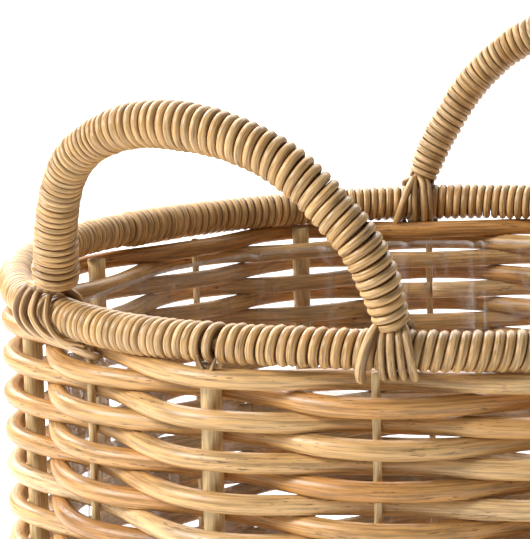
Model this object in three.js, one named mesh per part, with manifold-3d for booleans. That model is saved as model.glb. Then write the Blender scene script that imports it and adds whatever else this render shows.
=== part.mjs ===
// Round woven rattan planter basket: two-strand plain weave on sixteen upright stakes, a cane-wrapped rim hoop, two
// cane-wrapped arch handles whose core canes splay over the rim, a slatted base in a foot hoop, and a lift-out film liner.
// Millimetres, +Z up. The origin is on the floor at the basket's centre. Bearings are measured in degrees from -Y
// towards -X, so 0 is the front of the basket and 90 its left side.
import * as THREE from 'three';
import { mergeVertices } from 'three/addons/utils/BufferGeometryUtils.js';
import Module from 'manifold-3d';

// ---- driving dimensions ----
const RIM_R = 212;            // rim hoop centreline radius
const RIM_TUBE_R = 9;         // wrapped rim, outside radius
const RIM_CORE_R = 4.6;       // bare rim hoop
const WRAP_FIT = 0.35;        // gap between a core and the wrapping on it
const WRAP_LENGTHS = 4;       // lengths of cane that wrap the rim, end to end
const WRAP_START = 29;        // bearing of the first joint between two lengths
const WRAP_GAP_DEG = 0.35;    // gap between one wrapping length and the next

const FOOT_R = 8;             // foot hoop tube radius
const ROWS = 32;              // weave rows
const ROW_PITCH = 9;          // height of one row
const WEAVER_R = 4.25;        // weaver half height
const ROW1_BELOW_RIM = 14.3;  // top row's centre below the rim centreline
const FOOT_TO_ROW = 0.4;      // gap between the foot hoop and the lowest row

const STAKE_THICK_R = 4.85;
const STAKE_THIN_R = 1.95;
const STAKE_CIRCLE_R = 208.6; // stake circle radius; the wall is upright
const PASS_GAP = 0.35;        // gap between a weaver and the stake that it passes
// bearing of each stake; thick and thin ones take turns, and the first is thin
const STAKES = [8.4, 29.5, 51, 72.3, 94.5, 116.2, 137.7, 156.6, 177.2, 201.1, 225, 248.9, 272.8, 296.7, 320.6, 344.5];
const POLE_STEPS = 42;        // stakes passed by one weaver pole before the next pole takes over
const STEP_FROM = 11;         // the weave steps down two rows from this stake on, counted from 0
const STEP_BAYS = 4;          // over this many gaps between stakes

const HANDLE_R = 9.7;         // wrapped handle, outside radius
const HANDLE_CORE_R = 5;      // bundle of core canes
const STRAND_R = 1.9;         // one core cane where it crosses the rim
const STRAND_FIT = 0.7;       // gap between the strands and the wrapped rim

const SLAT_R = 4.85;
const SLATS = 11;
const SLAT_PITCH = 34;
const BATTEN_X = 60;

const FILM = 0.4;             // film thickness
const FILM_CORNER = 2.5;      // bevel between the film's base and its wall
const FILM_TOP_BELOW_RIM = 22;
const FILM_FIT = 0.7;         // gap between the film and the inside of the weave

// ---- derived heights ----
const ROW_LAST_Z = 2 * FOOT_R + FOOT_TO_ROW + WEAVER_R;
const ROW1_Z = ROW_LAST_Z + (ROWS - 1) * ROW_PITCH;
const RIM_Z = ROW1_Z + ROW1_BELOW_RIM;
const rad = (d) => d * Math.PI / 180;
const at = (deg, r, z) => new THREE.Vector3(-r * Math.sin(rad(deg)), -r * Math.cos(rad(deg)), z);

// ---- colours ----
const CANE = { color: 0xd8ae74, roughness: 0.45, metalness: 0 };
const POLE = { color: 0xc08a4c, roughness: 0.5, metalness: 0 };
const STAKE = { color: 0xb07a40, roughness: 0.55, metalness: 0 };
const CORE = { color: 0xcaa064, roughness: 0.6, metalness: 0 };
const CLEAR = { color: 0xeef2f2, roughness: 0.15, metalness: 0, transparent: true, opacity: 0.3 };

const basket = new THREE.Group();
function add(name, geometry, look) {
  const mesh = new THREE.Mesh(geometry, new THREE.MeshStandardMaterial(look));
  mesh.name = name;
  basket.add(mesh);
  return mesh;
}

// A path that goes straight from point to point, with one extruded section at each point.
class Route extends THREE.Curve {
  constructor(points, up, carriesOn) {
    super();
    this.points = points;
    this.up = up;
    this.carriesOn = carriesOn;
  }
  getPoint(t) {
    const n = this.points.length - 1;
    const f = Math.min(Math.max(t, 0), 1) * n;
    const i = Math.min(Math.floor(f), n - 1);
    return this.points[i].clone().lerp(this.points[i + 1], f - i);
  }
  getSpacedPoints() {
    return this.points.map((p) => p.clone());
  }
  // an arc carries on its curve at both ends, so that its end faces are radial; any other path ends square
  tangent(i) {
    const p = this.points, n = p.length - 1;
    const t = new THREE.Vector3();
    if (this.carriesOn && (i === 0 || i === n) && n > 1) {
      const next = i === 0 ? 1 : n - 1;
      const run = p[Math.max(i, next)].clone().sub(p[Math.min(i, next)]).normalize();
      const inner = this.tangent(next);
      return run.multiplyScalar(2 * run.dot(inner)).sub(inner).normalize();
    }
    if (i > 0) t.add(p[i].clone().sub(p[i - 1]).normalize());
    if (i < p.length - 1) t.add(p[i + 1].clone().sub(p[i]).normalize());
    return t.normalize();
  }
  // sections keep one side turned to the given direction, so that they don't twist along the path
  computeFrenetFrames() {
    const tangents = [], normals = [], binormals = [];
    this.points.forEach((_, i) => {
      const t = this.tangent(i);
      const b = this.up.clone().addScaledVector(t, -this.up.dot(t)).normalize();
      tangents.push(t);
      binormals.push(b);
      normals.push(new THREE.Vector3().crossVectors(b, t).normalize());
    });
    return { tangents, normals, binormals };
  }
}
const polygon = (r, sides, turn = 0) => Array.from({ length: sides }, (_, i) => {
  const a = 2 * Math.PI * i / sides + turn;
  return new THREE.Vector2(r * Math.cos(a), r * Math.sin(a));
});
function rod(points, r, sides, up, turn = 0) {
  return new THREE.ExtrudeGeometry(new THREE.Shape(polygon(r, sides, turn)), {
    steps: points.length - 1, curveSegments: 1, bevelEnabled: false, extrudePath: new Route(points, up, false),
  });
}
function sleeve(points, rOut, rIn, sides, up) {
  const shape = new THREE.Shape(polygon(rOut, sides, Math.PI / sides));
  shape.holes.push(new THREE.Path(polygon(rIn / Math.cos(Math.PI / sides), sides, Math.PI / sides)));
  return new THREE.ExtrudeGeometry(shape, {
    steps: points.length - 1, curveSegments: 1, bevelEnabled: false, extrudePath: new Route(points, up, true),
  });
}
const UP = new THREE.Vector3(0, 0, 1);
// points along a level arc, set so that the straight runs between them lie half inside and half outside the true radius
const arc = (from, to, steps, r, z) => {
  const out = r * (1 + (1 - Math.cos(rad((to - from) / steps / 2))) / 2);
  return Array.from({ length: steps + 1 }, (_, i) => at(from + (to - from) * i / steps, out, z));
};
// a closed ring: a profile turned about +Z
function ring(centreR, z, tubeR, sides, around) {
  const profile = polygon(tubeR, sides, Math.PI / sides).map((p) => new THREE.Vector2(centreR + p.x, p.y));
  profile.push(profile[0].clone());
  const g = new THREE.LatheGeometry(profile, around);
  g.rotateX(Math.PI / 2);
  g.translate(0, 0, z);
  return g;
}
function straight(a, b, r, sides) {
  const g = new THREE.CylinderGeometry(r, r, a.distanceTo(b), sides);
  const turn = new THREE.Quaternion().setFromUnitVectors(new THREE.Vector3(0, 1, 0), b.clone().sub(a).normalize());
  g.applyQuaternion(turn);
  const mid = a.clone().add(b).multiplyScalar(0.5);
  g.translate(mid.x, mid.y, mid.z);
  return g;
}

// ---- boolean join ----
const wasm = await Module();
wasm.setup();
function solid(geometry) {
  let g = geometry.index ? geometry.toNonIndexed() : geometry.clone();
  g.deleteAttribute('normal');
  g.deleteAttribute('uv');
  g = mergeVertices(g, 1e-4);
  return new wasm.Manifold(new wasm.Mesh({
    numProp: 3, vertProperties: new Float32Array(g.attributes.position.array), triVerts: new Uint32Array(g.index.array),
  }));
}
function joined(geometries) {
  let whole = solid(geometries[0]);
  for (const g of geometries.slice(1)) whole = whole.add(solid(g));
  const m = whole.getMesh();
  const g = new THREE.BufferGeometry();
  g.setAttribute('position', new THREE.BufferAttribute(new Float32Array(m.vertProperties), 3));
  g.setIndex(new THREE.BufferAttribute(new Uint32Array(m.triVerts), 1));
  g.computeVertexNormals();
  return g;
}

// ---- rim ----
add('rim_hoop', ring(RIM_R, RIM_Z, RIM_CORE_R, 6, 48), CORE);
for (let k = 0; k < WRAP_LENGTHS; k++) {
  const span = 360 / WRAP_LENGTHS;
  const from = WRAP_START + k * span;
  const points = arc(from + WRAP_GAP_DEG / 2, from + span - WRAP_GAP_DEG / 2, 12, RIM_R, RIM_Z);
  add(`rim_wrap_${k + 1}`, sleeve(points, RIM_TUBE_R, RIM_CORE_R + WRAP_FIT + 0.45, 8, UP), CANE);
}

// ---- stakes ----
const isThick = (i) => i % 2 === 1;
const stakeTopZ = RIM_Z - RIM_TUBE_R - 0.6;
const stakeFootZ = 2 * FOOT_R + 0.6;
STAKES.forEach((deg, i) => {
  const r = isThick(i) ? STAKE_THICK_R : STAKE_THIN_R;
  const name = `stake_${isThick(i) ? 'thick' : 'thin'}_${Math.floor(i / 2) + 1}`;
  add(name, straight(at(deg, STAKE_CIRCLE_R, stakeFootZ), at(deg, STAKE_CIRCLE_R, stakeTopZ), r, isThick(i) ? 8 : 6), STAKE);
});

// ---- weave: two strands chase each other, each two rows high per turn ----
// A weaver crosses a stake at an angle on the outside, where the straight runs of the route meet in a peak.
const side = { out: 0.92, in: 0.985 };
function pass(i, strand, z) {
  const n = ((i % 16) + 16) % 16;
  const outside = isThick(n) === (strand === 'a');
  const stakeR = isThick(n) ? STAKE_THICK_R : STAKE_THIN_R;
  const off = (stakeR + WEAVER_R + PASS_GAP) / (outside ? side.out : side.in);
  return at(STAKES[n], STAKE_CIRCLE_R + (outside ? off : -off), z);
}
function strandRoute(strand) {
  const row0 = strand === 'a' ? 0 : 1;
  const points = [];
  // each strand starts and ends on the inside of a stake, where the step leaves it room
  const first = STEP_FROM + STEP_BAYS - 16 - (strand === 'a' ? 1 : 0);
  const turns = ROWS / 2;
  const last = (turns - 1) * 16 + STEP_FROM + (strand === 'a' ? -1 : 2);
  for (let i = first; i <= last; i++) {
    // rows already stepped down at this stake, counted in steps of two rows
    const turn = Math.floor((i - STEP_FROM) / 16);
    const into = (i - STEP_FROM) - turn * 16;
    const down = i < STEP_FROM ? 0 : turn + Math.min(into / STEP_BAYS, 1);
    const stepped = i > (turns - 1) * 16 + STEP_FROM ? turns - 1 : down;
    points.push(pass(i, strand, ROW1_Z - ROW_PITCH * (row0 + 2 * stepped)));
  }
  return points;
}
for (const strand of ['a', 'b']) {
  const route = strandRoute(strand);
  let from = 0, pole = 1;
  while (from < route.length - 1) {
    let to = Math.min(from + POLE_STEPS, route.length - 1);
    if (route.length - 1 - to < 12) to = route.length - 1;
    const points = route.slice(from, to + 1).map((p) => p.clone());
    const n = points.length;
    if (from > 0) points[0].lerp(points[1], 0.6 / points[0].distanceTo(points[1]));
    if (to < route.length - 1) points[n - 1].lerp(points[n - 2], 0.6 / points[n - 1].distanceTo(points[n - 2]));
    add(`weaver_${strand}${pole}`, rod(points, WEAVER_R, 6, UP, Math.PI / 2), POLE);
    from = to;
    pole += 1;
  }
}

// ---- handles ----
// Each arch stands in a plane that leans outwards. along runs from the first foot to the second, rise up the leaning plane.
const HANDLES = [
  { name: 'handle_left', feet: [57.5, 5.8], lean: 16, arch: [
    [-88, 17], [-84.2, 30], [-80.9, 42.3], [-75.6, 55.5], [-70, 66.5], [-60.6, 78.2], [-46.5, 87.8], [-28, 94.9], [-8.4, 97.4],
    [12, 96.2], [31, 92], [48.6, 84.7], [62, 74.8], [73.2, 62.4], [83, 49.5], [89, 34], [92, 17]] },
  { name: 'handle_right', feet: [175.7, 237.5], lean: 12, arch: [
    [-107, 17], [-105.2, 26.5], [-99.7, 39], [-93.2, 51], [-84.8, 65.4], [-73.5, 78.8], [-58, 91.8], [-40, 101.5], [-20, 106.5], [0, 108],
    [20, 106.5], [40, 101.5], [58, 91.8], [73.5, 78.8], [84.8, 65.4], [93.2, 51], [99.7, 39], [105.2, 26.5], [107, 17]] },
];
for (const h of HANDLES) {
  const a = at(h.feet[0], RIM_R, RIM_Z), b = at(h.feet[1], RIM_R, RIM_Z);
  const mid = a.clone().add(b).multiplyScalar(0.5);
  const along = b.clone().sub(a).normalize();
  const outwards = new THREE.Vector3(mid.x, mid.y, 0).normalize();
  const rise = UP.clone().multiplyScalar(Math.cos(rad(h.lean))).addScaledVector(outwards, Math.sin(rad(h.lean)));
  const face = new THREE.Vector3().crossVectors(along, rise).normalize();
  const arch = h.arch.map(([e, u]) => mid.clone().addScaledVector(along, e).addScaledVector(rise, u));
  add(`${h.name}_wrap`, sleeve(arch, HANDLE_R, HANDLE_CORE_R + WRAP_FIT + 0.3, 8, face), CANE);
  // the core: one rod under the wrapping, and its canes splayed over both sides of the rim at each foot
  const pieces = [];
  const beyond = (end, next) => end.clone().lerp(next, -0.3);
  const ends = [beyond(arch[0], arch[1]), beyond(arch[arch.length - 1], arch[arch.length - 2])];
  pieces.push(rod([ends[0], ...arch, ends[1]], HANDLE_CORE_R, 6, face));
  h.feet.forEach((deg, f) => {
    const reach = RIM_TUBE_R + STRAND_FIT + STRAND_R;
    // the bound neck where the canes leave the bundle
    pieces.push(straight(at(deg, RIM_R, RIM_Z + RIM_TUBE_R + STRAND_FIT), at(deg, RIM_R + 1, RIM_Z + RIM_TUBE_R + STRAND_FIT + 3.4), HANDLE_CORE_R - 0.2, 8));
    for (const [count, sign, low] of [[5, 1, -36], [4, -1, -36]]) {
      for (let k = 0; k < count; k++) {
        const fan = k - (count - 1) / 2;
        const points = [at(deg + fan * 1.6 / RIM_R * 180 / Math.PI, RIM_R, RIM_Z + reach + 0.4)];
        for (const [elevation, spread] of [[62, 3.4], [30, 3.9], [-3, 4.2], [low, 4.5]]) {
          const bearing = deg + fan * spread / RIM_R * 180 / Math.PI;
          const c = reach * Math.cos(rad(elevation)), s = reach * Math.sin(rad(elevation));
          points.push(at(bearing, RIM_R + sign * c, RIM_Z + s));
        }
        pieces.push(rod(points, STRAND_R, 4, at(deg + 90, 1, 0), Math.PI / 4));
      }
    }
  });
  add(`${h.name}_core`, joined(pieces), CORE);
}

// ---- base ----
add('foot_hoop', ring(STAKE_CIRCLE_R, FOOT_R * Math.cos(Math.PI / 8), FOOT_R, 8, 32), POLE);
const battenZ = SLAT_R + 1.3;
const slatZ = battenZ + 2 * SLAT_R + 0.3;
const weaveInsideR = STAKE_CIRCLE_R - STAKE_THICK_R - 2 * WEAVER_R - PASS_GAP;
const hoopInsideR = (STAKE_CIRCLE_R - FOOT_R) * Math.cos(Math.PI / 32);
for (const [k, s] of [[1, -1], [2, 1]]) {
  const half = Math.sqrt((hoopInsideR - 0.5) ** 2 - (BATTEN_X + SLAT_R) ** 2);
  add(`base_batten_${k}`, straight(new THREE.Vector3(s * BATTEN_X, -half, battenZ), new THREE.Vector3(s * BATTEN_X, half, battenZ), SLAT_R, 8), STAKE);
}
for (let k = 0; k < SLATS; k++) {
  const y = (k - (SLATS - 1) / 2) * SLAT_PITCH;
  const half = Math.sqrt((weaveInsideR - 1.6) ** 2 - (Math.abs(y) + SLAT_R) ** 2);
  add(`base_slat_${k + 1}`, straight(new THREE.Vector3(-half, y, slatZ), new THREE.Vector3(half, y, slatZ), SLAT_R, 8), STAKE);
}

// ---- film liner: a thin cup standing on the slats ----
const filmFootZ = slatZ + SLAT_R + 0.4;
const filmTopZ = RIM_Z - FILM_TOP_BELOW_RIM;
const filmR = STAKE_CIRCLE_R - STAKE_THICK_R - 2 * WEAVER_R - PASS_GAP - FILM_FIT - 0.1;
{
  const out = [[0, filmFootZ], [filmR - FILM_CORNER, filmFootZ], [filmR, filmFootZ + FILM_CORNER], [filmR, filmTopZ]];
  const inn = [[filmR - FILM, filmTopZ], [filmR - FILM, filmFootZ + FILM_CORNER + 0.15],
    [filmR - FILM_CORNER - 0.15, filmFootZ + FILM], [0, filmFootZ + FILM]];
  const g = new THREE.LatheGeometry([...out, ...inn].map(([r, z]) => new THREE.Vector2(r, z)), 32);
  g.rotateX(Math.PI / 2);
  add('film_liner', g, CLEAR);
}

export default basket;
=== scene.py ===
import math

import bpy
import numpy as np
from mathutils import Matrix, Vector


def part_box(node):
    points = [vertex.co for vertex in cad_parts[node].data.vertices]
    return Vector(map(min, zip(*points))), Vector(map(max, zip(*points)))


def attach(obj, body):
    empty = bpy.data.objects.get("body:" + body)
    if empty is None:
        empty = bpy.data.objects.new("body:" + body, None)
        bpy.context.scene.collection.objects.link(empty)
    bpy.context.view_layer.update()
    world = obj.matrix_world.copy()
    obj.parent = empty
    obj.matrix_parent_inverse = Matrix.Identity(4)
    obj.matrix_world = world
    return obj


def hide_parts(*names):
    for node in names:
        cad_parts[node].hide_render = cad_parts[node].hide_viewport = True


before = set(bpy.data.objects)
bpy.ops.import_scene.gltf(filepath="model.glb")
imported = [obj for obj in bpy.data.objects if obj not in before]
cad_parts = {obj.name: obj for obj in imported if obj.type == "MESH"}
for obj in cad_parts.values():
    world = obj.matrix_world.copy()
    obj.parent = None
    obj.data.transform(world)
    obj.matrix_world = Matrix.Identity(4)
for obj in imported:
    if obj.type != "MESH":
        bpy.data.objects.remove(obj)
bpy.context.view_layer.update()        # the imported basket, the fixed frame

scene = bpy.context.scene
MM = 0.001

# ---------------------------------------------------------------- dimensions, in mm, as in the CAD model
RIM_R, RIM_Z = 212.0, 313.95
RIM_TUBE = 9.0
ROWS, PITCH = 32, 9.0
ROW1_Z = RIM_Z - 14.3
POLE_R = 4.7
THICK_R, THIN_R = 4.85, 1.95
FOOT_R = 7.39
SLAT_R = 4.85
STAKES = [8.4, 29.5, 51, 72.3, 94.5, 116.2, 137.7, 156.6, 177.2, 201.1, 225, 248.9, 272.8, 296.7, 320.6, 344.5]
STEP_FROM, STEP_BAYS, POLE_STEPS = 11, 4, 42


def wall(z):
    return 207.9 + 0 * z


def polar(deg, r, z):
    t = np.radians(deg)
    return np.stack([-r * np.sin(t), -r * np.cos(t), z + 0 * t], -1)


# ---------------------------------------------------------------- smooth noise and curves
def knots(seed, n=512):
    return np.random.default_rng(seed).uniform(-1, 1, n)


def noise1(x, seed, period=None):
    """Smooth noise between -1 and 1, one value at each whole number and a smooth curve between."""
    k = knots(seed)
    x = np.asarray(x, float)
    i = np.floor(x).astype(int)
    f = x - i
    f = f * f * (3 - 2 * f)
    n = len(k) if period is None else int(period)
    return k[i % n] * (1 - f) + k[(i + 1) % n] * f


def spline(points, per=12, closed=False):
    """A Catmull-Rom curve through the points, centripetal enough for even spacing."""
    p = np.asarray(points, float)
    if closed:
        p = np.vstack([p[-1], p, p[0], p[1]])
    else:
        p = np.vstack([2 * p[0] - p[1], p, 2 * p[-1] - p[-2]])
    out = []
    t = np.linspace(0, 1, per, endpoint=False)[:, None]
    for k in range(1, len(p) - 2):
        a, b, c, d = p[k - 1], p[k], p[k + 1], p[k + 2]
        out.append(0.5 * (2 * b + (c - a) * t + (2 * a - 5 * b + 4 * c - d) * t ** 2 + (3 * b - a - 3 * c + d) * t ** 3))
    out = np.vstack(out)
    return out if closed else np.vstack([out, p[-2]])


def arc_len(p):
    return np.concatenate([[0], np.cumsum(np.linalg.norm(np.diff(p, axis=0), axis=1))])


def resample(p, step):
    s = arc_len(p)
    n = max(int(round(s[-1] / step)), 2)
    t = np.linspace(0, s[-1], n + 1)
    return np.stack([np.interp(t, s, p[:, k]) for k in range(p.shape[1])], -1)


def unit(v):
    return v / np.maximum(np.linalg.norm(v, axis=-1, keepdims=True), 1e-12)


# ---------------------------------------------------------------- canes: closed round rods along a path
def cane(path, radius, sides=10, hint=(0, 0, 1), tone=0.5, s0=0.0, taper=(None, None), knots_at=(), oval=0.0, bevel=0.35):
    """One cane along path (mm). hint is the outward side, which the grain coordinates start from. taper is the length
    over which an end thins to a point, or None for a sawn end. Returns the raw mesh with its per-vertex data."""
    P = np.asarray(path, float)
    n = len(P)
    rad = np.broadcast_to(np.asarray(radius, float), (n,)).copy()
    H = np.broadcast_to(np.asarray(hint, float), (n, 3)).copy()
    tn = np.broadcast_to(np.asarray(tone, float), (n,)).copy()
    s = arc_len(P)
    # extra rings at each end, for the rounded edge of the sawn face
    ends = [bevel * 0.001, bevel * 0.3, bevel]
    if s[-1] > 8 * bevel:
        want = np.concatenate([ends, s[-1] - np.array(ends)[::-1]])
        keep = s[(s > bevel * 1.6) & (s < s[-1] - bevel * 1.6)]
        S = np.unique(np.concatenate([[0], want, keep, [s[-1]]]))
    else:
        S = s
    def at(A):
        return np.stack([np.interp(S, s, A[:, k]) for k in range(A.shape[1])], -1) if A.ndim > 1 else np.interp(S, s, A)
    P, rad, H, tn = at(P), at(rad), at(H), at(tn)
    s = S
    n = len(P)
    T = unit(np.gradient(P, s, axis=0))
    B = unit(H - (H * T).sum(1)[:, None] * T)
    N = np.cross(T, B)
    for k in knots_at:
        d = s - k
        rad = rad * (1 + 0.045 * np.exp(-(d / 2.2) ** 2) - 0.012 * np.exp(-((d - 5) / 5.0) ** 2))
    end = np.minimum(s, s[-1] - s)
    edge = np.where(end < bevel, 1 - 0.30 * (1 - end / bevel) ** 2, 1.0)
    for side, t in enumerate(taper):
        if t:
            d = s if side == 0 else s[-1] - s
            edge = edge * np.clip(0.16 + 0.84 * (d / t) ** 0.75, 0, 1)
    rad = rad * edge
    a = 2 * np.pi * np.arange(sides) / sides
    ca, sa = np.cos(a), np.sin(a)
    V = P[:, None] + rad[:, None, None] * ((1 - oval) * ca[None, :, None] * B[:, None] + (1 + oval) * sa[None, :, None] * N[:, None])
    G = np.empty((n, sides, 3))
    G[..., 0] = (s + s0)[:, None]
    G[..., 1] = rad[:, None] * ca
    G[..., 2] = rad[:, None] * sa
    V = V.reshape(-1, 3)
    G = G.reshape(-1, 3)
    tone_v = np.repeat(tn, sides)
    cut = np.zeros(len(V))
    cut[:sides] = cut[-sides:] = 1.0
    near = np.full(n, 0.05)
    if len(knots_at):
        near = np.clip(np.min(np.abs(s[:, None] - np.asarray(knots_at)[None]), axis=1) * MM, 0, 0.05)
    near_v = np.repeat(near, sides)
    i = np.arange(n - 1)[:, None] * sides
    k = np.arange(sides)[None]
    k1 = (k + 1) % sides
    quads = np.stack([i + k, i + k1, i + sides + k1, i + sides + k], -1).reshape(-1, 4)
    c0, c1 = len(V), len(V) + 1
    V = np.vstack([V, P[0], P[-1]])
    G = np.vstack([G, [s[0] + s0, 0, 0], [s[-1] + s0, 0, 0]])
    tone_v = np.concatenate([tone_v, [tn[0], tn[-1]]])
    near_v = np.concatenate([near_v, [0.05, 0.05]])
    cut = np.concatenate([cut, [1, 1]])
    kk = np.arange(sides)
    last = (n - 1) * sides
    tris = np.vstack([np.stack([np.full(sides, c0), (kk + 1) % sides, kk], -1),
                      np.stack([np.full(sides, c1), last + kk, last + (kk + 1) % sides], -1)])
    return dict(V=V, Q=quads, T=tris, grain=G * MM, tone=tone_v, cut=cut, ring=near_v)


def ring_cane(path, radius, sides, hint, tone=0.5):
    """A closed ring."""
    P = np.asarray(path, float)
    n = len(P)
    s = np.concatenate([[0], np.cumsum(np.linalg.norm(np.diff(np.vstack([P, P[:1]]), axis=0), axis=1))])[:-1]
    T = unit(np.roll(P, -1, 0) - np.roll(P, 1, 0))
    H = np.broadcast_to(np.asarray(hint, float), (n, 3))
    B = unit(H - (H * T).sum(1)[:, None] * T)
    N = np.cross(T, B)
    rad = np.broadcast_to(np.asarray(radius, float), (n,))
    a = 2 * np.pi * np.arange(sides) / sides
    V = P[:, None] + rad[:, None, None] * (np.cos(a)[None, :, None] * B[:, None] + np.sin(a)[None, :, None] * N[:, None])
    G = np.empty((n, sides, 3))
    G[..., 0] = s[:, None]
    G[..., 1] = rad[:, None] * np.cos(a)
    G[..., 2] = rad[:, None] * np.sin(a)
    i = np.arange(n)[:, None] * sides
    j = ((np.arange(n) + 1) % n)[:, None] * sides
    k = np.arange(sides)[None]
    k1 = (k + 1) % sides
    quads = np.stack([i + k, i + k1, j + k1, j + k], -1).reshape(-1, 4)
    m = n * sides
    return dict(V=V.reshape(-1, 3), Q=quads, T=np.zeros((0, 3), int), grain=G.reshape(-1, 3) * MM,
                tone=np.full(m, tone), cut=np.zeros(m), ring=np.full(m, 0.05))


def piece(name, canes, material, body, nodes):
    V, faces, grain, tone, cut, ring = [], [], [], [], [], []
    base = 0
    for c in canes:
        V.append(c["V"])
        faces += (c["Q"] + base).tolist() + (c["T"] + base).tolist()
        grain.append(c["grain"])
        tone.append(c["tone"])
        cut.append(c["cut"])
        ring.append(c["ring"])
        base += len(c["V"])
    V = np.vstack(V) * MM
    me = bpy.data.meshes.new(name)
    me.from_pydata(V.tolist(), [], faces)
    me.attributes.new("grain", "FLOAT_VECTOR", "POINT").data.foreach_set("vector", np.vstack(grain).astype(np.float32).ravel())
    for key, val in (("tone", tone), ("cut", cut), ("ring", ring)):
        me.attributes.new(key, "FLOAT", "POINT").data.foreach_set("value", np.concatenate(val).astype(np.float32))
    me.polygons.foreach_set("use_smooth", np.ones(len(me.polygons), bool))
    me.update()
    ob = bpy.data.objects.new(name, me)
    scene.collection.objects.link(ob)
    ob.data.materials.append(material)
    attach(ob, body)
    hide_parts(*nodes)
    return ob


# ---------------------------------------------------------------- materials
class Nodes:
    """Short names for making shader nodes."""

    def __init__(self, name):
        self.m = bpy.data.materials.new(name)
        self.m.use_nodes = True
        self.t = self.m.node_tree
        self.t.nodes.clear()
        self.out = self.t.nodes.new("ShaderNodeOutputMaterial")

    def new(self, kind, **props):
        n = self.t.nodes.new(kind)
        for k, v in props.items():
            setattr(n, k, v)
        return n

    def link(self, a, b):
        self.t.links.new(a, b)

    def attr(self, name):
        return self.new("ShaderNodeAttribute", attribute_name=name)

    def math(self, op, a, b=None, c=None, clamp=False):
        n = self.new("ShaderNodeMath", operation=op, use_clamp=clamp)
        for k, v in enumerate((a, b, c)):
            if v is None:
                continue
            if isinstance(v, (int, float)):
                n.inputs[k].default_value = v
            else:
                self.link(v, n.inputs[k])
        return n.outputs[0]

    def vec(self, v, scale, offset=(0, 0, 0)):
        n = self.new("ShaderNodeMapping", vector_type="POINT")
        n.inputs["Scale"].default_value = scale
        n.inputs["Location"].default_value = offset
        self.link(v, n.inputs["Vector"])
        return n.outputs[0]

    def noise(self, v, scale=1.0, detail=2.0, rough=0.5, distortion=0.0):
        n = self.new("ShaderNodeTexNoise")
        n.inputs["Scale"].default_value = scale
        n.inputs["Detail"].default_value = detail
        n.inputs["Roughness"].default_value = rough
        n.inputs["Distortion"].default_value = distortion
        self.link(v, n.inputs["Vector"])
        return n.outputs["Fac"]

    def ramp(self, fac, stops, interp="LINEAR"):
        n = self.new("ShaderNodeValToRGB")
        n.color_ramp.interpolation = interp
        e = n.color_ramp.elements
        while len(e) < len(stops):
            e.new(0.5)
        for k, (pos, col) in enumerate(stops):
            e[k].position = pos
            e[k].color = (*col, 1) if len(col) == 3 else col
        self.link(fac, n.inputs["Fac"])
        return n.outputs["Color"]

    def remap(self, x, a, b, c=0.0, d=1.0):
        n = self.new("ShaderNodeMapRange", interpolation_type="SMOOTHSTEP")
        self.link(x, n.inputs["Value"])
        for k, v in (("From Min", a), ("From Max", b), ("To Min", c), ("To Max", d)):
            n.inputs[k].default_value = v
        return n.outputs["Result"]

    def mix(self, fac, a, b, blend="MIX"):
        n = self.new("ShaderNodeMix", data_type="RGBA", blend_type=blend)
        for sock, v in ((n.inputs[0], fac), (n.inputs[6], a), (n.inputs[7], b)):
            if isinstance(v, (int, float)):
                sock.default_value = v
            elif isinstance(v, tuple):
                sock.default_value = (*v, 1)
            else:
                self.link(v, sock)
        return n.outputs[2]


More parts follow.
